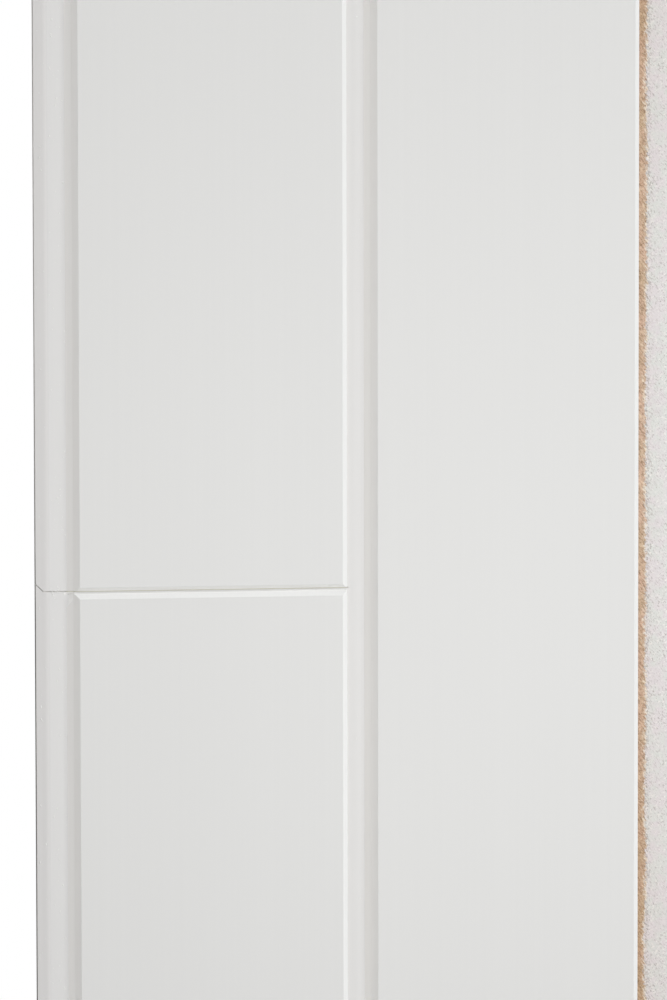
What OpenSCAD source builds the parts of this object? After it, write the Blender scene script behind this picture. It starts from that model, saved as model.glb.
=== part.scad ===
// Fibreboard wall panel: one wide tongue-and-groove sheet, painted on its face.
// Two board-wide strips are milled into it, with a shadow gap between them, and a
// cross groove divides the first strip. The face is up, +Y runs along the sheet,
// and the origin is the middle of its back.

/* [Sheet] */
// Length of the sheet
sheet_length = 2400; // [600:10:3600]
// Thickness from the back to the painted face
thickness = 12; // [10:0.5:18]
// Number of board-wide strips across the sheet
strips = 2; // [1:1:4]
// Width of the flat field of one strip
field_w = 130.4; // [60:0.2:240]

/* [Shadow gap] */
// Depth of the gap's floor, and of the tongue's top, below the face
gap_depth = 4.6; // [3.6:0.1:5.4]
// Width of the gap's flat floor
floor_w = 9.0; // [7:0.1:16]
// Width of the gentle lower part of the slope
slope_low_w = 3.2; // [1.5:0.1:5]
// Height of the gentle lower part of the slope
slope_low_h = 1.7; // [0.6:0.1:2.6]
// Width of the steep upper part of the slope
slope_high_w = 2.8; // [1.5:0.1:6]
// Width and depth of the bevel on the far side of each strip
bevel_w = 2.6; // [0.8:0.1:3.2]

/* [Tongue] */
// Thickness of the tongue
tongue_t = 4.0; // [3:0.1:4.6]
// Length of tongue that goes into the next sheet's slot
tongue_engage = 6.3; // [6:0.1:12]
// Width of the sloped nose along the tongue's edge
nose_w = 5.8; // [2:0.1:5.9]
// Drop of the nose at the tongue's edge
nose_drop = 2.0; // [0.4:0.1:2.2]
// Width of the steep bevel over the tongue's edge
tip_bevel_w = 0.4; // [0.1:0.05:0.6]
// Height of the steep bevel over the tongue's edge
tip_bevel_h = 0.7; // [0.2:0.1:0.8]
// Chamfer under the tongue's edge
tip_chamfer = 0.6; // [0.2:0.1:0.7]

/* [Slot and nail lip] */
// Clearance above and below a tongue in the slot
slot_clearance = 0.2; // [0.1:0.05:0.3]
// Clearance ahead of a tongue at the bottom of the slot
slot_end_clearance = 0.5; // [0.2:0.1:1.5]
// Reach of the nail lip past the edge of the face
lip_reach = 19; // [12:0.5:30]
// Step from the slot's lower side down to the top of the nail lip
lip_step = 0.2; // [0.1:0.05:0.4]
// Clearance between a nail lip and the next sheet's shoulder
shoulder_gap = 0.4; // [0.2:0.1:1]

/* [Cross groove] */
// Distance of the cross groove from the middle of the sheet's length
cross_offset = 0; // [-200:10:200]
// Width of the bevel on the groove's far side
cross_far_bevel = 1.6; // [0.8:0.1:2.4]
// Width of the fine scored line
score_w = 0.4; // [0.3:0.1:0.8]
// Depth of the scored line below the floor of the shadow gap
score_depth = 1.0; // [0.5:0.1:1.4]
// Width of the land between the scored line and the near bevel
cross_land = 1.0; // [0.5:0.1:2]
// Width and depth of the bevel on the groove's near side
cross_near_bevel = 2.6; // [1:0.1:3.2]
// Distance from the tongue's edge at which the scored line turns off
corner_cut = 3.7; // [2:0.1:5.5]
// Width of the small pocket at the foot of the slope
pocket_w = 3.0; // [1:0.1:3.1]
// Distance from the scored line to the pocket
pocket_start = 1.2; // [0.6:0.1:2]
// Length of the pocket's straight side
pocket_l = 2.7; // [1:0.1:6]
// Further length over which the pocket narrows away
pocket_taper = 4.0; // [1:0.1:6]

/* [Hidden] */

// Cuts run this far past the surfaces that they open into
over = 1;

// Levels, upwards from the back
gap_z = thickness - gap_depth;
tongue_z = gap_z - tongue_t;
slot_top_z = gap_z + slot_clearance;
slot_bottom_z = tongue_z - slot_clearance;
lip_z = slot_bottom_z - lip_step;
tip_bevel_z = gap_z - nose_drop * (1 - tip_bevel_w / nose_w);

// The bevel and the chamfer on the tongue's edge, no more than the wood there carries
tip_t = tip_bevel_z - tongue_z;
tip_share = min(1, 0.9 * tip_t / (tip_bevel_h + tip_chamfer));
tip_top_z = tip_bevel_z - tip_share * tip_bevel_h;
tip_cut = tip_share * tip_chamfer;

// Widths, across from the tongue's edge
slope_w = slope_low_w + slope_high_w;
pitch = slope_w + field_w + bevel_w + floor_w;
function foot_x(strip) = tongue_engage + floor_w + strip * pitch;
function edge_x(strip) = foot_x(strip) + slope_w + field_w + bevel_w;
face_end_x = edge_x(strips - 1);
slot_x = face_end_x - tongue_engage - slot_end_clearance;
lip_x = face_end_x + lip_reach;
shoulder_x = tongue_engage + lip_reach + shoulder_gap;

// The top of one strip, from the foot of its slope to its bevelled edge
function strip_top(strip) = [
    [foot_x(strip), gap_z],
    [foot_x(strip) + slope_low_w, gap_z + slope_low_h],
    [foot_x(strip) + slope_w, thickness],
    [edge_x(strip) - bevel_w, thickness],
    [edge_x(strip), thickness - bevel_w],
];

// The sheet's section, clockwise from the underside of the tongue's edge
section = [
    [0, tongue_z + tip_cut],
    [0, tip_top_z],
    [tip_bevel_w, tip_bevel_z],
    [nose_w, gap_z],
    for (strip = [0 : 1 : strips - 2]) each concat(strip_top(strip), [[edge_x(strip), gap_z]]),
    each strip_top(strips - 1),
    [face_end_x, slot_top_z],
    [slot_x, slot_top_z],
    [slot_x, slot_bottom_z],
    [face_end_x, slot_bottom_z],
    [face_end_x, lip_z],
    [lip_x, lip_z],
    [lip_x, 0],
    [shoulder_x, 0],
    [shoulder_x, tongue_z],
    [tip_cut, tongue_z],
];

// The milled sheet before the cross groove, from the tongue's edge at x = 0
module milled_sheet() {
    rotate([90, 0, 0])
        linear_extrude(height = sheet_length, center = true)
            polygon(section);
}

// Both bevels and the land of the cross groove, over the slope and field of one strip
module cross_bevels() {
    far_y = score_w / 2;
    near_y = -score_w / 2 - cross_land;
    translate([foot_x(0) - over, 0, 0])
        rotate([90, 0, 90])
            linear_extrude(height = edge_x(0) - foot_x(0) + 2 * over)
                polygon([
                    [far_y + cross_far_bevel + over, thickness + over],
                    [far_y, thickness - cross_far_bevel],
                    [far_y, thickness - cross_near_bevel],
                    [near_y, thickness - cross_near_bevel],
                    [near_y - cross_near_bevel - over, thickness + over],
                ]);
}

// The fine scored line, from the shadow gap to the turn on the tongue's nose
module scored_line() {
    translate([corner_cut, -score_w / 2, gap_z - score_depth])
        cube([edge_x(0) - corner_cut + over, score_w, thickness]);
}

// The scored line's last stretch, slanting off over the nose like a cut corner
module cut_corner() {
    nose_score_z = gap_z - nose_drop - score_depth / 2;
    translate([0, 0, nose_score_z])
        linear_extrude(height = thickness)
            polygon([
                [corner_cut + score_w / 2, -score_w / 2],
                [corner_cut + score_w / 2, score_w / 2],
                [-over, corner_cut + over + score_w],
                [-over, corner_cut + over - score_w / 2],
            ]);
}

// The pocket at the foot of the slope, level with the floor of the shadow gap
module slope_pocket() {
    translate([foot_x(0), -pocket_start, gap_z])
        linear_extrude(height = thickness)
            polygon([
                [0, 0],
                [pocket_w, 0],
                [pocket_w, -pocket_l],
                [0, -pocket_l - pocket_taper],
            ]);
}

module panel() {
    color([0.88, 0.88, 0.87])
        translate([-lip_x / 2, 0, 0])
            difference() {
                milled_sheet();
                translate([0, cross_offset, 0]) {
                    cross_bevels();
                    scored_line();
                    cut_corner();
                    slope_pocket();
                }
            }
}

panel();
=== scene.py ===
"""Fibreboard wall panel: one painted tongue-and-groove sheet, dressed over its CAD frame.

The sheet lies on its back, face up, with its length along Y. The milled section comes
from the frame, so this file only finishes it: softened arrises, the torn fibres of the
bare nail lip, specks in the paint, and the materials, floor, lamps and camera.
"""

import math
import random

import bpy
import numpy as np
from bpy.props import (
    FloatProperty,
    FloatVectorProperty,
    IntProperty,
    PointerProperty,
)
from mathutils import Euler, Matrix, Vector, noise


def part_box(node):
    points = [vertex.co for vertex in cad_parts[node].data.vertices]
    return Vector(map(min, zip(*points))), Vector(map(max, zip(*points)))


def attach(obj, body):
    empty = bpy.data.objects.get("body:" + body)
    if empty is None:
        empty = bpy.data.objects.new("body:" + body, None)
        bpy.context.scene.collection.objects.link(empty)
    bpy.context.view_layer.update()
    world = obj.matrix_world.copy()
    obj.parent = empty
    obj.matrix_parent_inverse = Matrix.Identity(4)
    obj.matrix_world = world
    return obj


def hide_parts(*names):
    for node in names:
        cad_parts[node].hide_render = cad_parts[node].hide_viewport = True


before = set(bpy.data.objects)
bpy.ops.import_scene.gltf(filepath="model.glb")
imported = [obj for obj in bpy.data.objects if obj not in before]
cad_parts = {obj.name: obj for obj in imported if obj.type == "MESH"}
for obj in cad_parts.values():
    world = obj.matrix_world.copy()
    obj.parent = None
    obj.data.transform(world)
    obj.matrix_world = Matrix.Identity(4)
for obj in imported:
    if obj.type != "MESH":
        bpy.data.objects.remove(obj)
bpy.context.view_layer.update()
low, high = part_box("panel")

bl_info = {
    "name": "Fibreboard wall panel",
    "version": (1, 0, 0),
    "blender": (4, 5, 0),
    "location": "3D View > Sidebar > Wall Panel",
    "description": "Finishes a milled and painted fibreboard wall sheet",
    "category": "Add Mesh",
}

MM = 0.001
HAIR = 0.01 * MM  # places closer than this are the same place
SHEET = "wall_sheet"
NODE = "panel"
TEAR_SHIFT = Vector((17.3, 4.1, 9.7))  # sets one noise apart from another
FINISH_MAP = "OFBake"
COLOUR, NUMBER = "NodeSocketColor", "NodeSocketFloat"
FIBRE_TURN = math.radians(55)  # the cutter lays the fibres over at this angle
LIP_SECTIONS = 12
HIDDEN_STRIP = 0.015  # share of the lip's map that its hidden foot takes
LIP_FOOT = 0.2 * MM  # how deep the torn skin reaches into the board
LINE_FOOT = 0.9 * MM  # how far under the gap's floor the paint in the scored line reaches
# Besides the face's own paint, each of these is a lighter or darker copy of the one paint, carrying
# painted light and shade for the way its faces point.
SHEET_PAINTS = {  # how streaked and how rough each paint of the sheet is
    "face_paint": (0.022, 0.52),
    "gap_paint": (0.030, 0.52),
    "slope_paint": (0.045, 0.54),
    "floor_paint": (0.045, 0.54),
    "inner_slope_paint": (0.045, 0.54),
    "bevel_paint": (0.045, 0.54),
    "wall_paint": (0.045, 0.60),
    "far_bevel_paint": (0.045, 0.54),
    "nose_paint": (0.045, 0.54),
    "scored_paint": (0.10, 0.70),
}
SQUARE = 0.9  # share of its direction with which a face points straight one way
LEANING = 0.2  # share with which it leans that way at all
UPPER_SLOPE = 0.6  # share past which a slope is the upper, steeper one
STEEP = 0.3  # upward share under which a face counts as a wall
WAVE_LENGTH = 0.7  # from one pale place of the sheet's edges to the next, in metres
SLIVER_SEED = 41
SLIVERS_ON_STRIP = 0.34  # share of the slivers that lie on the bare strip
SLIVERS_TO_EDGE = 0.74  # share that lie there or along its ragged edge
SLIVER_LENGTH = (0.30, 0.95)  # least and greatest, in millimetres
SLIVER_WIDTH = (0.115, 0.23)
NIB_SEED = 17
NIBS_ON_NOSE = 0.30  # share of the nibs that sit on the nose
NIBS_BY_LINE = 0.03  # share that sit beside the scored line instead
NIBS_TO_GAP = 0.12  # share that sit there or on the gap's floor instead
NIB_RADIUS = (0.10, 0.34)  # least and greatest, in millimetres
LIT_PLACE = (0.05, 0.05, 0)  # where the large lamps point
OVERHEAD_PLACE = (0.09, 0.5)  # across the sheet and above the floor
OVERHEAD_SIZE = (0.35, 0.35)
LARGE_SIZE = (2.4, 1.6)


def millimetres(name, description, value):
    """A setting for a length, given in millimetres."""
    return FloatProperty(name=name, description=description, default=value * MM, unit="LENGTH")


def degrees(name, description, value):
    """A setting for an angle, given in degrees."""
    return FloatProperty(
        name=name, description=description, default=math.radians(value), subtype="ANGLE"
    )


def rgb(name, thing, value):
    """A setting for the colour of a thing."""
    return FloatVectorProperty(
        name=name, description=f"Colour of the {thing}", default=value, subtype="COLOR", size=3
    )


def amount(name, description, value):
    """A setting for a plain number."""
    return FloatProperty(name=name, description=description, default=value)


def watts(name, lamp, value):
    """A setting for the power of a lamp."""
    return amount(name, f"Power in watts of the {lamp}", value)


def fraction(name, description, value):
    """A setting for a share between 0 and 1."""
    return FloatProperty(name=name, description=description, default=value, subtype="FACTOR")


def count(name, description, value):
    """A setting for a whole number of things."""
    return IntProperty(name=name, description=description, default=value)


class SheetSizes(bpy.types.PropertyGroup):
    """Sizes of the milled section that the finish depends on, and of the finish itself."""

    gap_height: millimetres("Gap height", "Height of the gap's floor and the ledge", 7.4)
    nose_width: millimetres("Nose width", "Width of the tongue's sloped nose", 5.8)
    nose_drop: millimetres("Nose drop", "Drop of the nose at the tongue's edge", 2.0)
    ledge_width: millimetres("Ledge width", "Width of the ledge from nose to slope", 9.5)
    lip_reach: millimetres("Lip reach", "Width of the nail lip past the edge of the face", 19)
    lip_height: millimetres("Lip height", "Height of the top of the nail lip above the back", 3.0)
    slot_depth: millimetres("Slot depth", "Depth of the slot under the edge of the face", 6.8)
    tip_width: millimetres("Tip width", "Width of the steep bevel over the tongue's edge", 0.4)
    corner_cut: millimetres("Corner cut", "From the tongue's edge to the scored line's turn", 3.7)
    first_field: millimetres("First field", "From the tongue's edge to the first raised field", 21.3)
    field_width: millimetres("Field width", "Flat width of one raised field", 130.4)
    bevel_width: millimetres("Bevel width", "Width of the bevel on the far side of each field", 2.6)
    line_width: millimetres("Line width", "Width of the scored line", 0.4)
    slope_reach: millimetres("Slope reach", "Width of the two slopes in front of a field", 6.0)
    low_slope_width: millimetres("Low slope width", "Width of the slopes' lower part", 3.2)
    low_slope_rise: millimetres("Low slope rise", "Rise of the slopes' lower part", 1.7)
    pocket_width: millimetres("Pocket width", "Reach of the pocket into the lower slope", 3.0)
    pocket_start: millimetres("Pocket start", "Distance from the scored line to the pocket", 1.2)
    pocket_length: millimetres("Pocket length", "Length of the pocket at its full width", 2.7)
    pocket_taper: millimetres("Pocket taper", "Length in which the pocket narrows away", 4.0)
    pocket_easing: millimetres("Pocket easing", "Width of the paint at the pocket's wall", 1.9)
    cross_depth: millimetres("Cross groove depth", "Depth of the cross groove's land", 2.6)
    line_fill: millimetres("Line fill", "From the land down to the paint in the scored line", 0.15)
    arris: millimetres("Arris", "Width by which the milled edges are softened", 0.2)
    nose_easing: millimetres("Nose easing", "Width of the rounding from nose to ledge", 1.2)
    bare_width: millimetres("Bare width", "Width of the strip that the overspray misses", 5.3)
    tear_rows: count("Tear rows", "Rows of faces along the torn top of the nail lip", 3000)
    tear_columns: count("Tear columns", "Columns of faces across the torn top of the nail lip", 26)
    tear_height: millimetres("Tear height", "Height of the torn relief on the nail lip", 0.3)
    sliver_count: count("Slivers", "Number of fibre slivers that stand up from the nail lip", 26000)
    nib_count: count("Nibs", "Number of nibs in the paint of the tongue and ledge", 760)


class SheetColours(bpy.types.PropertyGroup):
    """Colours of the paint and of the board under it. Many paints are lighter or darker copies of
    one paint, with painted light and shade for the way their faces point.
    """

    face_paint: rgb("Face paint", "paint on the flat faces", (0.757, 0.755, 0.742))
    # A darker copy of the face paint on the ledge and the groove's land: painted shade.
    gap_paint: rgb("Gap paint", "paint on the ledge and the groove's land", (0.738, 0.732, 0.722))
    # A lighter copy of the face paint on the slopes in front of a field: painted light.
    slope_paint: rgb(
        "Slope paint", "paint on the slopes in front of a field", (0.865, 0.850, 0.826)
    )
    # A slightly lighter copy of the ledge's paint on the shadow gap's floor: painted light.
    floor_paint: rgb("Floor paint", "paint on the shadow gap's floor", (0.762, 0.754, 0.742))
    # A lighter copy of the face paint on the low slope beside the shadow gap: painted light, a
    # little less than on the outer slopes.
    inner_slope_paint: rgb(
        "Inner slope paint", "paint on the low slope beside the shadow gap", (0.838, 0.822, 0.794)
    )
    # A lighter copy of the face paint on bevels that face the lip or the far end: painted highlight.
    bevel_paint: rgb(
        "Bevel paint", "paint on bevels that face the lip or the far end", (0.835, 0.840, 0.832)
    )
    # Dark grey on the wall under a bevel: painted shade, kept dark so that the wall throws less
    # light onto the gap's floor.
    wall_paint: rgb("Wall paint", "thin paint on the wall under a bevel", (0.50, 0.49, 0.47))
    # A lighter copy of the face paint on the bevel that faces the near end: painted light against
    # the cross groove's shade.
    far_bevel_paint: rgb(
        "Far bevel paint", "paint on the bevel that faces the near end", (0.920, 0.912, 0.885)
    )
    # A lighter copy of the face paint on the tongue's sloped nose: painted light.
    nose_paint: rgb("Nose paint", "paint on the tongue's sloped nose", (0.785, 0.772, 0.760))
    # Warm paint in the scored line: its warm tint is the line's own, its lightness painted light
    # against the line's shade.
    scored_paint: rgb("Scored paint", "thin paint in the scored line", (0.78, 0.765, 0.735))
    # A lighter copy of the paint at the foot of the pocket's wall: painted light against the shadow
    # there.
    pocket_paint_lit: rgb(
        "Pocket paint", "thick paint at the foot of the pocket's wall", (0.93, 0.92, 0.90)
    )
    # Olive paint in the scored line across the field: its tint is the line's own, its darkness
    # painted shade for the line's depth.
    line_paint: rgb(
        "Line paint", "paint that fills the scored line across the field", (0.66, 0.64, 0.53)
    )
    # A lighter copy of the ledge's paint on the nibs: painted highlight.
    nib_paint: rgb("Nib paint", "paint on the nibs", (0.81, 0.81, 0.79))
    thin_paint: rgb("Thin paint", "paint left on the tongue's edge", (0.74, 0.72, 0.70))
    # Dark grey on the tongue's edge: painted shade.
    worn_tip: rgb("Worn tip", "tongue's edge where handling has greyed it", (0.24, 0.23, 0.22))
    board: rgb("Board", "bare fibreboard between its fibres", (0.69, 0.50, 0.38))
    dark_fibre: rgb("Dark fibre", "board's darkest fibres", (0.26, 0.16, 0.08))
    pale_fibre: rgb("Pale fibre", "board's palest fibres", (0.92, 0.76, 0.58))
    aged_board: rgb("Aged board", "bare strip's tint where it is darkest", (0.80, 0.74, 0.66))
    fresh_board: rgb("Fresh board", "bare strip's tint where it is palest", (0.96, 0.96, 0.96))
    rosy_board: rgb("Rosy board", "bare strip's tint in its rosy patches", (1.02, 1.0, 1.0))
    olive_board: rgb("Olive board", "bare strip's tint in its olive patches", (0.94, 0.97, 0.90))
    fringe: rgb("Fringe", "half-covered fibres along the bare strip's edge", (0.93, 0.85, 0.72))
    overspray: rgb("Overspray", "overspray on the nail lip", (0.800, 0.758, 0.765))
    second_spray: rgb("Second spray", "greener patches of the overspray", (0.775, 0.785, 0.755))
    # Dark grey specks in the overspray: painted shade on its small pits and lumps.
    spray_pit_shade: rgb("Spray pit", "pits in the overspray", (0.44, 0.40, 0.38))
    # Pale specks in the overspray: painted highlight on its small lumps.
    spray_nib_highlight: rgb("Spray nib", "nibs in the overspray", (0.92, 0.90, 0.87))
    aged_spray: rgb("Aged spray", "overspray's tint where it is darkest", (0.965, 0.94, 0.93))


class StageSettings(bpy.types.PropertyGroup):
    """Where the camera stands and how bright the lamps are."""

    aim_x: millimetres("Aim across", "Where the camera aims, across from the middle", -13.55)
    aim_y: millimetres("Aim along", "Where the camera aims, along from the middle", 43.43)
    distance: millimetres("Distance", "Distance from the camera to the face", 2214.7)
    side_angle: degrees("Side angle", "How far the camera leans over to the tongue", 10.472)
    end_angle: degrees("End angle", "How far the camera leans over to the far end", 3.038)
    roll: degrees("Roll", "Turn of the camera about its own axis", -0.097)
    lens: amount("Lens", "Focal length in millimetres on a 36 mm sensor", 162.0)
    fill: amount("Fill", "Strength of the even light from all round", 0.095)
    overhead: watts("Overhead lamp", "small lamp over the middle", 0.48)
    outer_overhead: watts("Outer overhead lamps", "small lamp over each end", 0.34)
    lip_side: watts("Lip side lamp", "large lamp on the nail lip's side", 123.0)
    tongue_side: watts("Tongue side lamp", "large lamp on the tongue's side", 47.0)
    far_high: watts("High far lamp", "high lamp past the far end", 84.0)
    far_low: watts("Low far lamp", "low lamp past the far end", 21.0)
    near_low: watts("Near lamp", "low lamp past the near end", 26.5)
    shadow_reach: millimetres("Shadow reach", "How far off a thing can darken the floor", 30)
    shadow_dark: fraction("Shadow dark", "Openness of the floor at which the shadow is full", 0.18)
    shadow_clear: fraction("Shadow clear", "Openness of the floor at which the shadow ends", 0.34)


GROUPS = {
    "sheet_sizes": SheetSizes,
    "sheet_colours": SheetColours,
    "stage_settings": StageSettings,
}


# ---------------------------------------------------------------- selecting and editing


def select_only(piece):
    """Leaves one object selected and active."""
    if bpy.context.object and bpy.context.object.mode != "OBJECT":
        bpy.ops.object.mode_set(mode="OBJECT")
    bpy.ops.object.select_all(action="DESELECT")
    piece.select_set(True)
    bpy.context.view_layer.objects.active = piece


def mark_edges(piece, wanted):
    """Selects the edges that wanted(first corner, second corner) accepts, and enters edit mode."""
    select_only(piece)
    mesh = piece.data
    bpy.ops.object.mode_set(mode="EDIT")
    bpy.ops.mesh.select_mode(type="EDGE")
    bpy.ops.mesh.select_all(action="DESELECT")
    bpy.ops.object.mode_set(mode="OBJECT")
    found = 0
    for edge in mesh.edges:
        first, second = (mesh.vertices[i].co for i in edge.vertices)
        edge.select = bool(wanted(first, second))
        found += edge.select
    bpy.ops.object.mode_set(mode="EDIT")
    return found


def object_mode():
    """Leaves edit mode."""
    bpy.ops.object.mode_set(mode="OBJECT")


def face_outward():
    """Turns every face of the mesh in edit mode outward, and leaves edit mode."""
    bpy.ops.mesh.select_all(action="SELECT")
    bpy.ops.mesh.normals_make_consistent(inside=False)
    object_mode()


# ---------------------------------------------------------------- shader building


def new_material(name):
    """A material with only a Principled shader wired to its output."""
    material = bpy.data.materials.new(name)
    material.use_nodes = True
    return material, material.node_tree, material.node_tree.nodes["Principled BSDF"]


def new_group(name, inputs, outputs):
    """A shader node group with named sockets: its tree, its inputs and its outputs."""
    group = bpy.data.node_groups.new(name, "ShaderNodeTree")
    for socket, kind in inputs.items():
        group.interface.new_socket(socket, in_out="INPUT", socket_type=kind)
    for socket, kind in outputs.items():
        group.interface.new_socket(socket, in_out="OUTPUT", socket_type=kind)
    given = group.nodes.new("NodeGroupInput").outputs
    wanted = group.nodes.new("NodeGroupOutput").inputs
    return group, given, wanted


def feed(tree, socket, value):
    """Gives an input socket another socket's value, or a plain one."""
    if isinstance(value, bpy.types.NodeSocket):
        tree.links.new(value, socket)
    elif isinstance(value, (int, float)) and socket.type in ("VECTOR", "RGBA"):
        socket.default_value = (value,) * len(socket.default_value)
    elif socket.type == "RGBA":
        socket.default_value = (*value, 1)
    else:
        socket.default_value = value


def use_group(tree, group, **values):
    """Places a node group in a tree, with its inputs given by name, and returns its outputs."""
    node = tree.nodes.new("ShaderNodeGroup")
    node.node_tree = group
    for name, value in values.items():
        feed(tree, node.inputs[name.replace("_", " ").capitalize()], value)
    return node.outputs


def calculate(tree, operation, *values):
    """A Math node on sockets or numbers."""
    node = tree.nodes.new("ShaderNodeMath")
    node.operation = operation
    for socket, value in zip(node.inputs, values):
        feed(tree, socket, value)
    return node.outputs[0]


def times(tree, first, second):
    """One value times another."""
    return calculate(tree, "MULTIPLY", first, second)


def plus(tree, first, second):
    """One value plus another."""
    return calculate(tree, "ADD", first, second)


def minus(tree, first, second):
    """One value less another."""
    return calculate(tree, "SUBTRACT", first, second)


def place_in(tree, stretch=(1, 1, 1), turn=0.0):
    """Object coordinates, turned about Z and then scaled along each turned axis."""
    coordinates = tree.nodes.new("ShaderNodeTexCoord")
    turned = tree.nodes.new("ShaderNodeMapping")
    turned.inputs["Rotation"].default_value = (0, 0, turn)
    scaled = tree.nodes.new("ShaderNodeVectorMath")
    scaled.operation = "MULTIPLY"
    scaled.inputs[1].default_value = stretch
    tree.links.new(coordinates.outputs["Object"], turned.inputs["Vector"])
    tree.links.new(turned.outputs["Vector"], scaled.inputs[0])
    return scaled.outputs["Vector"]


def noise_in(tree, place, scale, detail=2.0):
    """Cloudy noise between 0 and 1 at a number of clouds per metre."""
    node = tree.nodes.new("ShaderNodeTexNoise")
    feed(tree, node.inputs["Vector"], place)
    feed(tree, node.inputs["Scale"], scale)
    node.inputs["Detail"].default_value = detail
    return node.outputs["Fac"]


def coordinate(tree, axis):
    """A place's own coordinate along one axis."""
    axes = tree.nodes.new("ShaderNodeSeparateXYZ")
    tree.links.new(place_in(tree), axes.inputs["Vector"])
    return axes.outputs[axis]


def wave_along(tree, length, crest):
    """A slow wave along the sheet: 1 at the crest and 0 half a length away from it."""
    past = minus(tree, coordinate(tree, "Y"), crest)
    turn = times(tree, past, math.tau / length)
    return calculate(tree, "MULTIPLY_ADD", calculate(tree, "COSINE", turn), 0.5, 0.5)


def between(tree, value, low, high, to_low=0.0, to_high=1.0, smooth=False):
    """A value's place between two others, held at both ends."""
    node = tree.nodes.new("ShaderNodeMapRange")
    node.interpolation_type = "SMOOTHSTEP" if smooth else "LINEAR"
    for name, number in (
        ("Value", value),
        ("From Min", low),
        ("From Max", high),
        ("To Min", to_low),
        ("To Max", to_high),
    ):
        feed(tree, node.inputs[name], number)
    return node.outputs["Result"]


def blend(tree, factor, first, second, kind="MIX"):
    """A Mix node on two colours."""
    node = tree.nodes.new("ShaderNodeMix")
    node.data_type = "RGBA"
    node.blend_type = kind
    node.clamp_factor = True
    feed(tree, node.inputs["Factor"], factor)
    feed(tree, node.inputs[6], first)
    feed(tree, node.inputs[7], second)
    return node.outputs[2]


def raise_surface(tree, shader, height, distance):
    """Feeds a height in 0 to 1 to the shader's normal, as a bump of that many metres."""
    bump = tree.nodes.new("ShaderNodeBump")
    bump.inputs["Distance"].default_value = distance
    tree.links.new(height, bump.inputs["Height"])
    tree.links.new(bump.outputs["Normal"], shader.inputs["Normal"])


def make_coat_group():
    """Sprayed and rolled paint: long faint streaks, a fine orange peel and slow mottling."""
    group, given, wanted = new_group(
        "coat",
        {"Paint": COLOUR, "Streaks": NUMBER, "Sheen": NUMBER},
        {"Colour": COLOUR, "Roughness": NUMBER, "Height": NUMBER},
    )
    streaks = noise_in(group, place_in(group, (1, 0.004, 1)), 620, 3)
    mottling = noise_in(group, place_in(group, (1, 0.4, 1)), 9, 1)
    peel = noise_in(group, place_in(group), 750, 2)
    tone = times(group, minus(group, streaks, 0.5), given["Streaks"])
    slow = times(group, minus(group, mottling, 0.5), 0.02)
    tone = plus(group, plus(group, tone, slow), 1.0)
    grey = group.nodes.new("ShaderNodeCombineColor")
    for channel in grey.inputs:
        feed(group, channel, tone)
    colour = blend(group, 1.0, given["Paint"], grey.outputs["Color"], "MULTIPLY")
    feed(group, wanted["Colour"], colour)
    rough = times(group, minus(group, peel, 0.5), 0.16)
    feed(group, wanted["Roughness"], plus(group, rough, given["Sheen"]))
    height = times(group, streaks, 0.35)
    feed(group, wanted["Height"], plus(group, height, peel))


def make_fleck_group():
    """Wood fibres pressed into board: short flecks of several sizes, pale to dark."""
    group, given, wanted = new_group(
        "fibre_flecks",
        {"Board": COLOUR, "Dark": COLOUR, "Pale": COLOUR, "Scale": NUMBER, "Contrast": NUMBER},
        {"Colour": COLOUR, "Height": NUMBER},
    )
    one_way = place_in(group, (0.30, 1, 1), FIBRE_TURN)
    other_way = place_in(group, (0.40, 1, 1), FIBRE_TURN - math.radians(48))
    scale = given["Scale"]
    first = noise_in(group, one_way, scale, 3)
    second = noise_in(group, other_way, times(group, scale, 1.7), 2)
    broad = noise_in(group, place_in(group), times(group, scale, 0.16), 2)
    flecks = plus(group, times(group, first, 0.5), times(group, second, 0.3))
    flecks = plus(group, flecks, times(group, broad, 0.2))
    offset = minus(group, flecks, 0.5)
    strength = times(group, offset, given["Contrast"])
    pale = calculate(group, "MAXIMUM", strength, 0.0)
    dark = calculate(group, "MAXIMUM", times(group, strength, -1.0), 0.0)
    colour = blend(group, pale, given["Board"], given["Pale"])
    colour = blend(group, dark, colour, given["Dark"])
    feed(group, wanted["Colour"], colour)
    feed(group, wanted["Height"], flecks)


# ---------------------------------------------------------------- the sheet


class OBJECT_OT_wall_sheet(bpy.types.Operator):
    """Make the painted sheet from the milled solid"""

    bl_idname = "wallpanel.sheet"
    bl_label = "Wall sheet"

    def execute(self, context):
        sizes = context.scene.sheet_sizes
        sheet = copy_of_solid()
        ease_nose(sheet, sizes)
        soften_arrises(sheet, sizes)
        dress_sheet(sheet, sizes, context.scene.sheet_colours)
        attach(sheet, "root")
        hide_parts(NODE)
        return {"FINISHED"}


def copy_of_solid():
    """The milled solid as a mesh of its own, its loose triangles merged into flat faces."""
    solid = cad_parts[NODE]
    sheet = bpy.data.objects.new(SHEET, solid.data.copy())
    sheet.data.name = SHEET
    sheet.data.materials.clear()
    bpy.context.scene.collection.objects.link(sheet)
    select_only(sheet)
    bpy.ops.mesh.customdata_custom_splitnormals_clear()
    bpy.ops.object.shade_flat()
    bpy.ops.object.mode_set(mode="EDIT")
    bpy.ops.mesh.select_all(action="SELECT")
    bpy.ops.mesh.remove_doubles(threshold=0.001 * MM)
    bpy.ops.mesh.dissolve_limited(angle_limit=math.radians(0.5))
    object_mode()
    return sheet


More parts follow.
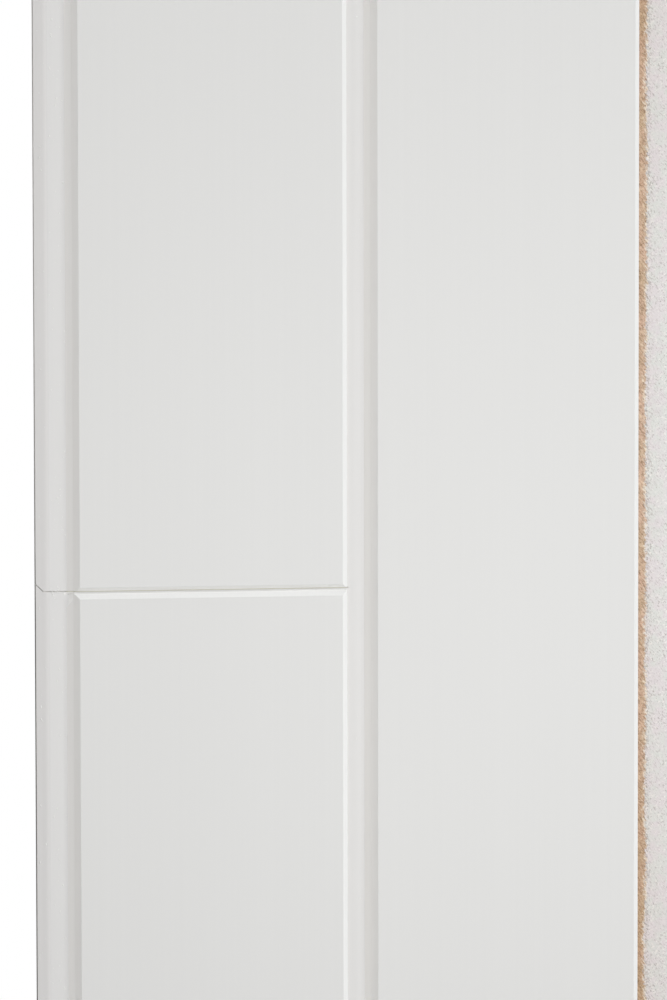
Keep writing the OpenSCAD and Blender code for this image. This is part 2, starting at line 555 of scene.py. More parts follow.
def ease_nose(sheet, sizes):
    """Rounds the edge between the nose and the ledge, which the paint has filled out."""
    edge_x = low.x + sizes.nose_width

    def nose_edge(first, second):
        return (
            abs(first.x - edge_x) < HAIR
            and abs(second.x - edge_x) < HAIR
            and abs(first.z - sizes.gap_height) < HAIR
            and abs(second.z - sizes.gap_height) < HAIR
        )

    if not mark_edges(sheet, nose_edge):
        raise RuntimeError("the edge between the nose and the ledge isn't there")
    bpy.ops.mesh.bevel(offset=sizes.nose_easing, segments=4, affect="EDGES")
    object_mode()


def soften_arrises(sheet, sizes):
    """Takes the sharpness off every milled edge."""
    bevel = sheet.modifiers.new("arrises", "BEVEL")
    bevel.width = sizes.arris
    bevel.segments = 2
    bevel.limit_method = "ANGLE"
    bevel.angle_limit = math.radians(8)
    bevel.use_clamp_overlap = True
    select_only(sheet)
    bpy.ops.object.modifier_apply(modifier=bevel.name)


def lip_start():
    """Where the face ends and the nail lip begins, across the sheet."""
    return high.x - bpy.context.scene.sheet_sizes.lip_reach


def dress_sheet(sheet, sizes, colours):
    """Gives each face of the sheet its finish, by where it is and which way it faces, so that
    painted light and shade follow each face's facing.
    """
    make_coat_group()
    make_fleck_group()
    finishes = [
        painted(name, getattr(colours, name), *look) for name, look in SHEET_PAINTS.items()
    ]
    finishes += [
        worn_tip(colours),
        bare_board("board_back", colours, 520, 1.5),
        bare_board("board_edge", colours, 900, 2.6),
    ]
    places = {}
    for number, finish in enumerate(finishes):
        sheet.data.materials.append(finish)
        places[finish.name] = number
    for face in sheet.data.polygons:
        face.material_index = places[finish_at(face.center, face.normal, sizes)]


def finish_at(place, way, sizes):
    """The name of the finish on a face of the sheet, from its middle and the way it faces; the way
    it faces picks a lighter or darker copy of the paint, as painted light and shade.
    """
    at_end = abs(way.y) > SQUARE and abs(place.y) > high.y - HAIR
    in_slot = (
        place.x > lip_start() - sizes.slot_depth - HAIR
        and place.z < sizes.gap_height + 0.3 * MM
    )
    end_wall = place.x > lip_start() - HAIR and way.x > SQUARE
    on_line = abs(place.y) < 0.3 * MM and low.x + sizes.corner_cut - HAIR < place.x < 0
    on_cut = 0 < place.y < 2 * sizes.corner_cut and place.x < low.x + sizes.corner_cut + HAIR
    steep = way.z < STEEP
    if way.z < -SQUARE and place.z < HAIR:
        return "board_back"
    if way.z < -0.05 or place.z < sizes.lip_height + 0.5 * MM or at_end or in_slot or end_wall:
        return "board_edge"
    if place.x < low.x + sizes.tip_width + HAIR:
        return "worn_tip"
    if on_line and (steep or place.z < sizes.gap_height - 0.5 * MM):
        return "scored_paint"
    if on_cut and (steep or way.z > 0.99):
        return "scored_paint"
    if place.z > high.z - 0.05 * MM:
        return "face_paint"
    if place.x < low.x + sizes.nose_width + sizes.nose_easing / 2:
        return "nose_paint"
    if way.x > SQUARE:
        return "wall_paint"
    if way.x > LEANING or way.y > LEANING:
        return "bevel_paint"
    inner = place.x > low.x + sizes.first_field + sizes.field_width
    if way.y < -LEANING:
        return "far_bevel_paint"
    if way.x < -UPPER_SLOPE:
        return "slope_paint"
    if way.x < -LEANING:
        return "inner_slope_paint" if inner else "slope_paint"
    return "floor_paint" if inner else "gap_paint"


def lay_coat(tree, shader, paint, streaks, sheen, relief):
    """Lays a coat of paint on a shader, with its relief in millimetres."""
    group = bpy.data.node_groups["coat"]
    coat = use_group(tree, group, paint=paint, streaks=streaks, sheen=sheen)
    feed(tree, shader.inputs["Base Color"], coat["Colour"])
    feed(tree, shader.inputs["Roughness"], coat["Roughness"])
    raise_surface(tree, shader, coat["Height"], relief * MM)


def painted(name, paint, streaks, sheen):
    """Satin paint on milled or sanded board."""
    material, tree, shader = new_material(name)
    lay_coat(tree, shader, paint, streaks, sheen, 0.012)
    return material


def board_flecks(tree, colours, scale, contrast):
    """Flecks of board at a number of flecks per metre: their colour and their height."""
    return use_group(
        tree,
        bpy.data.node_groups["fibre_flecks"],
        board=colours.board,
        dark=colours.dark_fibre,
        pale=colours.pale_fibre,
        scale=scale,
        contrast=contrast,
    )


def make_dull(shader):
    """Gives a shader the dull surface of bare board."""
    shader.inputs["Roughness"].default_value = 0.85
    shader.inputs["Specular IOR Level"].default_value = 0.3


def bare_board(name, colours, scale, contrast):
    """Bare board, which is smooth on its back and fibrous where it was cut."""
    material, tree, shader = new_material(name)
    board = board_flecks(tree, colours, scale, contrast)
    feed(tree, shader.inputs["Base Color"], board["Colour"])
    make_dull(shader)
    raise_surface(tree, shader, board["Height"], 0.08 * MM)
    return material


def worn_tip(colours):
    """The tongue's edge: thin paint darkened with painted shade, paler in some places along the
    sheet than others.
    """
    material, tree, shader = new_material("worn_tip")
    slow = times(tree, wave_along(tree, WAVE_LENGTH, 0.2), 0.62)
    short = noise_in(tree, place_in(tree, (0.3, 1, 1)), 60, 3)
    paler_share = plus(tree, slow, times(tree, short, 0.35))
    # The dark end of this mix is painted shade on the tongue's edge; the pale end is the thin paint
    # itself.
    thin = blend(tree, between(tree, paler_share, 0.38, 0.85), colours.worn_tip, colours.thin_paint)
    lay_coat(tree, shader, thin, 0.10, 0.66, 0.03)
    return material


# ---------------------------------------------------------------- the nail lip


class OBJECT_OT_torn_lip(bpy.types.Operator):
    """Make the torn and oversprayed top of the nail lip"""

    bl_idname = "wallpanel.torn_lip"
    bl_label = "Torn lip"

    def execute(self, context):
        sizes = context.scene.sheet_sizes
        lip = lay_tear_grid(sizes)
        tear_fibres(lip, sizes)
        lay_out_lip(lip, sizes)
        lip.data.materials.append(torn_board(context.scene.sheet_colours, sizes))
        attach(lip, "root")
        return {"FINISHED"}


def lay_tear_grid(sizes):
    """A closed skin over the nail lip, with a fine grid on top and its foot in the board."""
    bpy.ops.object.select_all(action="DESELECT")
    bpy.ops.mesh.primitive_grid_add(
        x_subdivisions=sizes.tear_columns,
        y_subdivisions=sizes.tear_rows,
        size=1,
        location=(lip_start() + sizes.lip_reach / 2, 0, sizes.lip_height),
    )
    lip = bpy.context.object
    lip.name = "torn_lip"
    lip.data.name = "torn_lip"
    lip.scale = (sizes.lip_reach, high.y - low.y, 1)
    bpy.ops.object.transform_apply(location=True, rotation=True, scale=True)
    level, foot = sizes.lip_height, sizes.lip_height - LIP_FOOT

    def long_side(first, second):
        return any(
            abs(first.x - x) < HAIR and abs(second.x - x) < HAIR
            for x in (lip_start(), high.x)
        )

    mark_edges(lip, long_side)
    bpy.ops.mesh.extrude_region_move(
        TRANSFORM_OT_translate={"value": (0, 0, foot - level)}
    )
    object_mode()

    def foot_side(first, second):
        return abs(first.z - foot) < HAIR and abs(second.z - foot) < HAIR

    mark_edges(lip, foot_side)
    bpy.ops.mesh.bridge_edge_loops()
    bpy.ops.mesh.select_all(action="SELECT")
    bpy.ops.mesh.fill_holes(sides=0)
    face_outward()
    return lip


def tear_fibres(lip, sizes):
    """Roughens the lip's top where the cutter tore it."""
    level = sizes.lip_height
    for vertex in lip.data.vertices:
        place = vertex.co
        if place.z > level - HAIR:
            place.z = level + torn_height(place, bareness(place, sizes), sizes)


def corners_of(piece):
    """For each corner of each face of a mesh: its face's number and its place, as arrays."""
    mesh = piece.data
    spots = np.empty(len(mesh.vertices) * 3)
    mesh.vertices.foreach_get("co", spots)
    owner = np.empty(len(mesh.loops), dtype=int)
    mesh.loops.foreach_get("vertex_index", owner)
    counts = np.empty(len(mesh.polygons), dtype=int)
    mesh.polygons.foreach_get("loop_total", counts)
    return np.repeat(np.arange(len(counts)), counts), spots.reshape(-1, 3)[owner]


def own_map(piece, across, along):
    """Gives a piece the map that its finish is laid on when it is kept as pictures."""
    mesh = piece.data
    while mesh.uv_layers:
        mesh.uv_layers.remove(mesh.uv_layers[0])
    layer = mesh.uv_layers.new(name=FINISH_MAP)
    layer.uv.foreach_set("vector", np.stack([across, along], axis=1).astype("f").ravel())


def lay_out_lip(lip, sizes):
    """Lays the long lip out in sections side by side, so that its finish stays sharp."""
    face, spots = corners_of(lip)
    faces = face[-1] + 1
    foot = spots[:, 2].min()
    raised = np.bincount(face, spots[:, 2] > foot + HAIR)
    corners = np.bincount(face)
    hidden = (raised == 0)[face]
    middle_y = (np.bincount(face, spots[:, 1]) / corners)[face]
    section_length = (high.y - low.y) / LIP_SECTIONS
    section = np.clip((middle_y - low.y) // section_length, 0, LIP_SECTIONS - 1)
    along = (spots[:, 1] - low.y) / section_length - section
    down = np.where(spots[:, 2] < foot + HAIR, LIP_FOOT, 0)
    left = spots[:, 0] < lip_start() + HAIR
    reach = spots[:, 0] - lip_start() + np.where(left, -down, down)
    share = (reach + 0.4 * MM) / (sizes.lip_reach + 1.1 * MM)
    across = (section + np.clip(share, 0, 1)) / LIP_SECTIONS * (1 - HIDDEN_STRIP)
    hidden_across = 1 - HIDDEN_STRIP * (0.9 - 0.8 * np.clip(reach / sizes.lip_reach, 0, 1))
    across = np.where(hidden, hidden_across, across)
    along = np.where(hidden, (spots[:, 1] - low.y) / (high.y - low.y), along)
    own_map(lip, across, 0.001 + 0.998 * along)
    if faces < sizes.tear_rows * sizes.tear_columns:
        raise RuntimeError("the lip has lost some of its faces")


def lay_out_grains(scattered, grains):
    """Gives each scattered grain a small square of its own, which all its faces share."""
    face, spots = corners_of(scattered)
    each = (face[-1] + 1) // grains
    grain = face // each
    side = math.ceil(math.sqrt(grains))
    first = np.searchsorted(face, face)
    turn = math.tau * (np.arange(len(face)) - first) / 3
    inside = 0.5 + 0.36 * np.stack([np.cos(turn + 0.3), np.sin(turn + 0.3)])
    own_map(scattered, (grain % side + inside[0]) / side, (grain // side + inside[1]) / side)


def bareness(place, sizes):
    """How bare the lip is at a place: 1 beside the face, ragged, and 0 under the overspray."""
    across = place.x - lip_start()
    ragged = 0.7 * noise.noise(place / (38 * MM)) + 1.1 * noise.noise(place / (3.1 * MM))
    fine = 2.0 * noise.noise(place / (0.95 * MM) + TEAR_SHIFT)
    edge = sizes.bare_width + (ragged + fine) * MM
    return smooth_step((edge + 0.8 * MM - across) / (1.6 * MM))


def torn_height(place, share, sizes):
    """How far the torn surface stands above the lip's own level at a place."""
    full = sizes.tear_height
    across = place.x - lip_start()
    diagonal = Vector((place.x + 0.6 * place.y, place.y - 0.5 * place.x, 0))
    torn = 0.5 * noise.noise(diagonal / (1.1 * MM)) + 0.5 * noise.noise(place / (2.3 * MM))
    pimpled = 0.20 * noise.noise(place / (1.4 * MM) + TEAR_SHIFT)
    nearness = 1 - abs(across - sizes.bare_width) / (3.5 * MM)
    broken = max(0.0, nearness) * 0.8 * noise.noise(place / (0.9 * MM))
    cell = noise.voronoi(place / (2.4 * MM))
    bump = max(0.0, 1 - cell[0][0] / 0.22) * 0.5
    height = 0.45 + share * torn + (1 - share) * (pimpled + bump) + broken
    inward = min(across, high.x - place.x, high.y - place.y, place.y - low.y)
    fade = smooth_step(inward / (0.8 * MM))
    return full * (0.3 + (max(height, 0.05) - 0.3) * fade)


def smooth_step(value):
    """0 below 0, 1 above 1, and a smooth rise between."""
    held = min(1.0, max(0.0, value))
    return held * held * (3 - 2 * held)


def torn_board(colours, sizes):
    """Torn board that overspray has whitened, ragged where the bare strip ends."""
    material, tree, shader = new_material("torn_board")
    board = board_flecks(tree, colours, 1300, 5.5)
    fresh = wave_along(tree, WAVE_LENGTH, 0.08)
    aged = blend(tree, fresh, colours.aged_board, colours.fresh_board)
    olive = between(tree, noise_in(tree, place_in(tree), 75, 2), 0.40, 0.62)
    patches = blend(tree, olive, colours.rosy_board, colours.olive_board)
    aged = blend(tree, 1.0, aged, patches, "MULTIPLY")
    board_colour = blend(tree, 1.0, board["Colour"], aged, "MULTIPLY")
    inside = bare_distance(tree, sizes)
    share = between(tree, inside, -0.35 * MM, 0.35 * MM, smooth=True)
    sprayed = speckled_spray(tree, colours, between(tree, inside, -3.6 * MM, -0.6 * MM))
    greyed = blend(tree, fresh, colours.aged_spray, (1, 1, 1))
    colour = blend(tree, share, blend(tree, 1.0, sprayed, greyed, "MULTIPLY"), board_colour)
    outer = between(tree, inside, -1.1 * MM, -0.1 * MM)
    fringe = times(tree, outer, between(tree, inside, 1.5 * MM, 0.4 * MM))
    streaks = noise_in(tree, place_in(tree, (0.35, 1, 1), FIBRE_TURN), 1150, 2)
    fringe = times(tree, fringe, between(tree, streaks, 0.47, 0.60, 0, 0.85))
    feed(tree, shader.inputs["Base Color"], blend(tree, fringe, colour, colours.fringe))
    feed(tree, shader.inputs["Roughness"], between(tree, share, 0, 1, 0.62, 0.9))
    shader.inputs["Specular IOR Level"].default_value = 0.35
    raise_surface(tree, shader, board["Height"], 0.35 * MM)
    return material


def bare_distance(tree, sizes):
    """How far inside the bare strip's ragged, streaked edge a place is, in metres."""
    inside = minus(tree, lip_start() + sizes.bare_width, coordinate(tree, "X"))
    for stretch, turn, scale, reach in (
        ((1, 1, 1), 0.0, 26, 3.0 * MM),
        ((0.5, 1, 1), FIBRE_TURN, 330, 2.6 * MM),
        ((0.4, 1, 1), FIBRE_TURN, 1250, 4.2 * MM),
    ):
        wave = minus(tree, noise_in(tree, place_in(tree, stretch, turn), scale), 0.5)
        inside = plus(tree, inside, times(tree, wave, reach))
    return inside


def speckled_spray(tree, colours, near_edge):
    """Dry overspray on torn board: pale and tinted, with dark specks of painted shade and pale
    specks of painted highlight, most near the edge.
    """
    tint = noise_in(tree, place_in(tree), 130, 2)
    greener = between(tree, tint, 0.40, 0.60)
    spray = blend(tree, greener, colours.overspray, colours.second_spray)
    crowd = between(tree, noise_in(tree, place_in(tree), 110, 2), 0.36, 0.62, 0.40, 1.0)
    crowd = calculate(tree, "MAXIMUM", crowd, near_edge)
    shift = times(tree, near_edge, 0.10)
    pits = noise_in(tree, place_in(tree, (0.5, 1, 1), FIBRE_TURN), 1500, 2)
    nibs = noise_in(tree, place_in(tree, (1, 0.55, 1), FIBRE_TURN), 1400, 2)
    pits = minus(tree, pits, shift)
    # Dark specks are painted shade on the spray's pits, pale ones painted highlight on its nibs.
    dark = times(tree, between(tree, pits, 0.44, 0.32), crowd)
    pale = times(tree, between(tree, nibs, 0.56, 0.68), crowd)
    spray = blend(tree, times(tree, dark, 0.78), spray, colours.spray_pit_shade)
    return blend(tree, pale, spray, colours.spray_nib_highlight)


class OBJECT_OT_lip_fibres(bpy.types.Operator):
    """Make the fibre slivers that stand up from the nail lip"""

    bl_idname = "wallpanel.lip_fibres"
    bl_label = "Lip fibres"

    def execute(self, context):
        sizes = context.scene.sheet_sizes
        colours = context.scene.sheet_colours
        sliver = splinter_shape("sliver")
        draw = random.Random(SLIVER_SEED)
        places, tones = [], []
        for _ in range(sizes.sliver_count):
            place, tone = sliver_place(draw, sizes, colours)
            places.append(place)
            tones.append(tone)
        fibres = scatter("lip_fibres", sliver, places)
        colour_each(fibres, tones)
        lay_out_grains(fibres, len(places))
        fibres.data.materials.append(fibre_finish())
        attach(fibres, "root")
        return {"FINISHED"}


def sliver_place(draw, sizes, colours):
    """Where one sliver lies, as a matrix, and its colour."""
    kind = draw.random()
    if kind < SLIVERS_ON_STRIP:
        across = draw.uniform(0.25, 1.0) * sizes.bare_width
    elif kind < SLIVERS_TO_EDGE:
        across = sizes.bare_width + draw.gauss(0.6, 0.9) * MM
    else:
        across = draw.uniform(sizes.bare_width, sizes.lip_reach)
    across = min(max(across, 0.3 * MM), sizes.lip_reach - 1.2 * MM)
    along = draw.uniform(low.y + 1 * MM, high.y - 1 * MM)
    place = Vector((lip_start() + across, along, sizes.lip_height))
    share = bareness(place, sizes)
    place.z += torn_height(place, share, sizes)
    heading = draw.gauss(-FIBRE_TURN, math.radians(24))
    rise = math.radians(draw.uniform(2, 20))
    length = draw.uniform(*SLIVER_LENGTH) * MM * (0.45 + 0.55 * share)
    width = draw.uniform(*SLIVER_WIDTH) * MM
    turned = Euler((draw.uniform(0, math.tau), -rise, heading)).to_matrix().to_4x4()
    stretched = Matrix.Diagonal((length, width, width * 0.7, 1))
    tone = sliver_tone(draw, across - sizes.bare_width, colours)
    return Matrix.Translation(place) @ turned @ stretched, tone


def sliver_tone(draw, past_edge, colours):
    """A sliver's colour: brown and cream on the bare strip, grey and white under overspray, where
    the grey is painted shade and the palest painted highlight on small lumps.
    """
    board, sprayed = Vector(colours.board), Vector(colours.overspray)
    dark, pale = Vector(colours.dark_fibre), Vector(colours.pale_fibre)
    choice = draw.random()
    if past_edge < -0.4 * MM:
        return board.lerp(dark if choice < 0.42 else pale, draw.uniform(0.3, 1.0))
    if past_edge < 1.8 * MM:
        if choice < 0.50:
            return dark.lerp(sprayed, draw.uniform(0.05, 0.5))
        return pale.lerp(sprayed, draw.uniform(0.3, 1.0)) * draw.uniform(0.98, 1.12)
    # Under the overspray, darker slivers are painted shade and paler ones partly painted highlight.
    if choice < 0.38:
        return sprayed.lerp(dark, draw.uniform(0.2, 0.75))
    return sprayed * draw.uniform(0.94, 1.16)


def nib_shape(name):
    """A low, closed, rounded nib of size 2, modelled once and then scattered."""
    bpy.ops.object.select_all(action="DESELECT")
    bpy.ops.mesh.primitive_uv_sphere_add(segments=7, ring_count=4, radius=1)
    return lay_along(name)


def splinter_shape(name):
    """A closed, three-sided splinter of length 2, modelled once and then scattered."""
    bpy.ops.object.select_all(action="DESELECT")
    bpy.ops.mesh.primitive_cone_add(vertices=3, radius1=1, radius2=0, depth=2)
    return lay_along(name)


def lay_along(name):
    """Names the new grain, and turns it from Z to lie along X."""
    grain = bpy.context.object
    grain.name = name
    grain.rotation_euler = (0, math.radians(90), 0)
    bpy.ops.object.transform_apply(location=False, rotation=True, scale=False)
    return grain


def scatter(name, grain, places):
    """One mesh with a copy of the grain at each place. The grain itself is removed."""
    corners = np.array([tuple(v.co) + (1.0,) for v in grain.data.vertices])
    faces = [tuple(face.vertices) for face in grain.data.polygons]
    spots = np.concatenate([corners @ np.array(place).T for place in places])[:, :3]
    step = len(corners)
    rings = [
        tuple(i + step * number for i in face)
        for number in range(len(places))
        for face in faces
    ]
    mesh = bpy.data.meshes.new(name)
    mesh.from_pydata(spots.tolist(), [], rings)
    mesh.validate()
    bpy.data.objects.remove(grain)
    made = bpy.data.objects.new(name, mesh)
    bpy.context.scene.collection.objects.link(made)
    select_only(made)
    bpy.ops.object.mode_set(mode="EDIT")
    face_outward()
    return made


def colour_each(scattered, tones):
    """Gives each scattered grain its own colour."""
    mesh = scattered.data
    tint = mesh.color_attributes.new("tint", "FLOAT_COLOR", "POINT")
    each = len(mesh.vertices) // len(tones)
    values = np.repeat(np.array([(*tone, 1.0) for tone in tones]), each, axis=0)
    tint.data.foreach_set("color", values.ravel())


def fibre_finish():
    """Dull fibres, each with its own colour."""
    material, tree, shader = new_material("loose_fibre")
    tint = tree.nodes.new("ShaderNodeAttribute")
    tint.attribute_name = "tint"
    grey = blend(tree, noise_in(tree, place_in(tree), 2500, 1), 0.88, 1.0)
    colour = blend(tree, 1.0, tint.outputs["Color"], grey, "MULTIPLY")
    feed(tree, shader.inputs["Base Color"], colour)
    make_dull(shader)
    return material


# ---------------------------------------------------------------- the tongue's nibs


class OBJECT_OT_paint_nibs(bpy.types.Operator):
    """Make the small nibs under the paint of the tongue and ledge"""

    bl_idname = "wallpanel.paint_nibs"
    bl_label = "Paint nibs"

    def execute(self, context):
        sizes = context.scene.sheet_sizes
        draw = random.Random(NIB_SEED)
        places = [nib_place(draw, sizes) for _ in range(sizes.nib_count)]
        nibs = scatter("paint_nibs", nib_shape("nib"), places)
        # The nibs' paint is lighter than the ledge's, as painted highlight.
        paint = context.scene.sheet_colours.nib_paint
        nibs.data.materials.append(painted("nib_paint", paint, 0.02, 0.46))
        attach(nibs, "root")
        return {"FINISHED"}


def nib_place(draw, sizes):
    """Where one nib sits, as a matrix: on the nose or ledge, by the scored line or in the gap."""
    on_nose = draw.random() < NIBS_ON_NOSE
    if on_nose:
        across = draw.uniform(0.18, 0.95) * sizes.nose_width
        drop = sizes.nose_drop * (1 - across / sizes.nose_width)
    else:
        across = sizes.nose_width + draw.uniform(0.15, 0.95) * sizes.ledge_width
        drop = 0.0
    along = draw.uniform(low.y + 2 * MM, high.y - 2 * MM)
    chance = draw.random()
    if chance < NIBS_BY_LINE:
        along, across, drop = draw.gauss(0, 1.6) * MM, draw.uniform(6.5, 14.5) * MM, 0.0
    elif chance < NIBS_TO_GAP:
        gap_start = sizes.first_field + sizes.field_width + sizes.bevel_width
        across, drop = gap_start + draw.uniform(1, 8) * MM, 0.0
    place = Vector((low.x + across, along, sizes.gap_height - drop))
    radius = draw.uniform(*NIB_RADIUS) * MM
    turned = Euler((0, 0, draw.gauss(math.pi / 2, math.radians(28)))).to_matrix().to_4x4()
    shape = Matrix.Diagonal((radius * draw.uniform(1, 3), radius, radius * 0.7, 1))
    return Matrix.Translation(place) @ turned @ shape


class OBJECT_OT_line_paint(bpy.types.Operator):
    """Make the paint that fills the scored line at the field and eases the pocket beside it"""

    bl_idname = "wallpanel.line_paint"
    bl_label = "Line paint"

    def execute(self, context):
        sizes, colours = context.scene.sheet_sizes, context.scene.sheet_colours
        # The line's olive fill is darker than the face: its tint is the line's own, its darkness
        # painted shade for the line's depth.
        line = painted("line_fill", colours.line_paint, 0.10, 0.60)
        # The pocket's easing is lighter than the slopes: painted light against the shadow at the
        # wall's foot.
        eased = painted("pocket_fill", colours.pocket_paint_lit, 0.05, 0.54)
        start = low.x + sizes.first_field
        blocks = [
            shaped_block(line_in_field(start, sizes), line),
            shaped_block(line_in_slope(start, sizes), line),
            shaped_block(pocket_ramp(start, "straight", sizes), eased),
            shaped_block(pocket_ramp(start, "tapered", sizes), eased),
        ]
        select_only(blocks[0])
        for block in blocks[1:]:
            block.select_set(True)
        bpy.ops.object.join()
        filled = context.object
        filled.name = "line_paint"
        filled.data.name = "line_paint"
        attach(filled, "root")
        return {"FINISHED"}


def shaped_block(corner, material):
    """A six-sided block; corner gives each place from its side in X, in Y and in Z."""
    bpy.ops.mesh.primitive_cube_add(size=2)
    block = bpy.context.object
    for vertex in block.data.vertices:
        vertex.co = corner(vertex.co.x > 0, vertex.co.y > 0, vertex.co.z > 0)
    block.data.materials.append(material)
    return block


def line_in_field(start, sizes):
    """The paint in the scored line across the field, sunk a little into the line's walls."""
    left = start - sizes.cross_depth + 0.2 * MM
    right = start + sizes.field_width + sizes.bevel_width - 0.2 * MM
    top = high.z - sizes.cross_depth - sizes.line_fill
    return line_stretch((left, right), (top, top), 0.01 * MM, sizes)


def line_in_slope(start, sizes):
    """The paint in the scored line where it climbs the slope in front of the field."""
    foot = start - sizes.slope_reach
    top = sizes.gap_height - 0.35 * MM
    tops = (top, top + sizes.low_slope_rise)
    return line_stretch((foot, foot + sizes.low_slope_width), tops, 0.015 * MM, sizes)


def line_stretch(ends, tops, sunk, sizes):
    """The paint in a stretch of the scored line, from its two ends and its top's height there."""
    half = sizes.line_width / 2 + sunk
    foot = sizes.gap_height - LINE_FOOT

    def corner(right, far, upper):
        return Vector((ends[right], half if far else -half, tops[right] if upper else foot))

    return corner


def pocket_ramp(start, part, sizes):
    """The paint that eases the foot of the pocket's wall, along its straight or tapered part."""
    slope_foot = start - sizes.slope_reach
    wall = slope_foot + sizes.pocket_width + 0.05 * MM
    rise = sizes.low_slope_rise / sizes.low_slope_width * sizes.pocket_width - 0.05 * MM
    turn = -sizes.line_width / 2 - sizes.pocket_start - sizes.pocket_length
    ends = (turn, turn + sizes.pocket_length + 0.1 * MM)
    if part == "tapered":
        ends = (turn - sizes.pocket_taper + 0.1 * MM, turn)

    def corner(right, far, upper):
        narrow = part == "tapered" and not far
        across = slope_foot + (0.15 if right else 0.02) * MM
        top = sizes.gap_height + (0.04 if right else 0.01) * MM
        if not narrow:
            across = wall if right else wall - sizes.pocket_easing
            top = sizes.gap_height + (rise if right else 0.01 * MM)
        return Vector((across, ends[far], top if upper else sizes.gap_height - 0.3 * MM))

    return corner


# ---------------------------------------------------------------- the stage


class OBJECT_OT_wall_stage(bpy.types.Operator):
    """Make the floor, the lamps and the camera"""

    bl_idname = "wallpanel.stage"
    bl_label = "Stage"

    def execute(self, context):
        settings = context.scene.stage_settings
        make_floor(settings)
        make_world(settings)
        make_lamps(settings)
        make_camera(settings)
        context.scene.view_settings.view_transform = "Standard"
        return {"FINISHED"}


def seen_directly(tree):
    """1 where the camera, a gloss reflection or glass sees a surface, and 0 for plain light."""
    path = tree.nodes.new("ShaderNodeLightPath").outputs
    gloss = calculate(tree, "MAXIMUM", path["Is Camera Ray"], path["Is Glossy Ray"])
    return calculate(tree, "MAXIMUM", gloss, path["Is Transmission Ray"])


def mix_shaders(tree, share, first, second, output):
    """Wires a share of the second shader over the first to an output."""
    mix = tree.nodes.new("ShaderNodeMixShader")
    tree.links.new(share, mix.inputs["Fac"])
    tree.links.new(first, mix.inputs[1])
    tree.links.new(second, mix.inputs[2])
    tree.links.new(mix.outputs["Shader"], tree.nodes[output].inputs["Surface"])


def make_floor(settings):
    """A wide white floor that is dark only where the sheet shuts it in."""
    bpy.ops.object.select_all(action="DESELECT")
    bpy.ops.mesh.primitive_plane_add(size=30, location=(0, 0, low.z))
    floor = bpy.context.object
    floor.name = "floor"
    material, tree, shader = new_material("floor")
    shader.inputs["Base Color"].default_value = (0.8, 0.8, 0.8, 1)
    shader.inputs["Roughness"].default_value = 0.9
    openness = tree.nodes.new("ShaderNodeAmbientOcclusion")
    openness.samples = 16
    openness.inputs["Distance"].default_value = settings.shadow_reach
    lit = between(
        tree, openness.outputs["AO"], settings.shadow_dark, settings.shadow_clear, smooth=True
    )
    share = times(tree, seen_directly(tree), lit)
    white = tree.nodes.new("ShaderNodeEmission").outputs["Emission"]
    mix_shaders(tree, share, shader.outputs["BSDF"], white, "Material Output")
    floor.data.materials.append(material)


def make_world(settings):
    """Even light from all round, seen as plain white."""
    world = bpy.data.worlds.new("studio")
    world.use_nodes = True
    tree = world.node_tree
    fill = tree.nodes["Background"]
    fill.inputs["Color"].default_value = (1, 1, 1, 1)
    fill.inputs["Strength"].default_value = settings.fill
    white = tree.nodes.new("ShaderNodeBackground")
    white.inputs["Color"].default_value = (1, 1, 1, 1)
    mix_shaders(
        tree,
        seen_directly(tree),
        fill.outputs["Background"],
        white.outputs["Background"],
        "World Output",
    )
    bpy.context.scene.world = world


def make_lamps(settings):
    """Small lamps over the sheet, and large far ones all round it."""
    across, height = OVERHEAD_PLACE
    for name, along, power in (
        ("overhead", -0.02, settings.overhead),
        ("far_overhead", 1.1, settings.outer_overhead),
        ("near_overhead", -1.1, settings.outer_overhead),
    ):
        add_lamp(name, (across, along, height), OVERHEAD_SIZE, power, (across, along, 0))
    for name, place, power in (
        ("lip_side", (3.99, 0.05, 3.08), settings.lip_side),
        ("tongue_side", (-4.48, 0.05, 2.11), settings.tongue_side),
        ("far_high", (0.05, 3.26, 3.83), settings.far_high),
        ("far_low", (0.05, 4.58, 2.11), settings.far_low),
        ("near_low", (0.05, -4.48, 2.11), settings.near_low),
    ):
        add_lamp(name, place, LARGE_SIZE, power, LIT_PLACE)


def add_lamp(name, place, size, power, target):
    """A soft rectangular lamp, aimed at a place and not seen by the camera."""
    bpy.ops.object.light_add(type="AREA", location=place)
    lamp = bpy.context.object
    lamp.name = name
    lamp.data.shape = "RECTANGLE"
    lamp.data.size, lamp.data.size_y = size
    lamp.data.energy = power
    lamp.visible_camera = False
    if (Vector(place) - Vector(target)).xy.length > 1 * MM:
        aim(lamp, Vector(target))


def aim(thing, target):
    """Points a lamp or camera at a place."""
    away = thing.location - target
    thing.rotation_euler = away.to_track_quat("Z", "Y").to_euler()


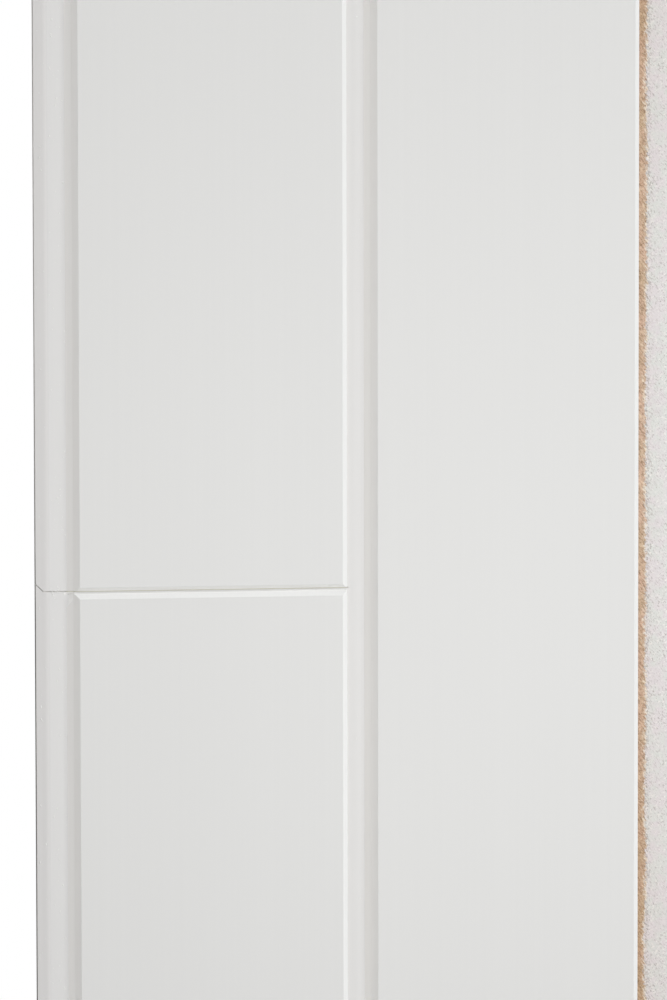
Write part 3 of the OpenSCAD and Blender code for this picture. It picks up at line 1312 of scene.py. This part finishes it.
def make_camera(settings):
    """A long lens high over the sheet, a little to the tongue's side."""
    target = Vector((settings.aim_x, settings.aim_y, high.z))
    side, end = settings.side_angle, settings.end_angle
    forward = Vector(
        (
            math.sin(side) * math.cos(end),
            -math.sin(end),
            -math.cos(side) * math.cos(end),
        )
    )
    right = forward.cross(Vector((0, 1, 0))).normalized()
    up = right.cross(forward)
    turned_right = right * math.cos(settings.roll) + up * math.sin(settings.roll)
    turned_up = up * math.cos(settings.roll) - right * math.sin(settings.roll)
    data = bpy.data.cameras.new("camera")
    data.lens = settings.lens
    data.sensor_width = 36
    data.clip_end = 50
    camera = bpy.data.objects.new("camera", data)
    axes = Matrix((turned_right, turned_up, -forward)).transposed()
    camera.matrix_world = Matrix.Translation(
        target - forward * settings.distance
    ) @ axes.to_4x4()
    bpy.context.scene.collection.objects.link(camera)
    bpy.context.scene.camera = camera


class VIEW3D_PT_wall_panel(bpy.types.Panel):
    """Lists what makes the wall panel"""

    bl_label = "Wall Panel"
    bl_idname = "VIEW3D_PT_wall_panel"
    bl_space_type = "VIEW_3D"
    bl_region_type = "UI"
    bl_category = "Wall Panel"

    def draw(self, context):
        for name, group in GROUPS.items():
            box = self.layout.box()
            for key in group.__annotations__:
                box.prop(getattr(context.scene, name), key)
        for step in STEPS:
            self.layout.operator(step.bl_idname)


STEPS = (
    OBJECT_OT_wall_sheet,
    OBJECT_OT_torn_lip,
    OBJECT_OT_lip_fibres,
    OBJECT_OT_paint_nibs,
    OBJECT_OT_line_paint,
    OBJECT_OT_wall_stage,
)
CLASSES = (*GROUPS.values(), *STEPS, VIEW3D_PT_wall_panel)


def register():
    """Adds the panel, its settings and its operators."""
    for each in CLASSES:
        bpy.utils.register_class(each)
    for name, group in GROUPS.items():
        setattr(bpy.types.Scene, name, PointerProperty(type=group))


def unregister():
    """Takes them away again."""
    for name in GROUPS:
        delattr(bpy.types.Scene, name)
    for each in reversed(CLASSES):
        bpy.utils.unregister_class(each)


def main():
    """Makes every piece in order."""
    register()
    bpy.ops.wallpanel.sheet()
    bpy.ops.wallpanel.torn_lip()
    bpy.ops.wallpanel.lip_fibres()
    bpy.ops.wallpanel.paint_nibs()
    bpy.ops.wallpanel.line_paint()
    bpy.ops.wallpanel.stage()


if __name__ == "__main__":
    main()
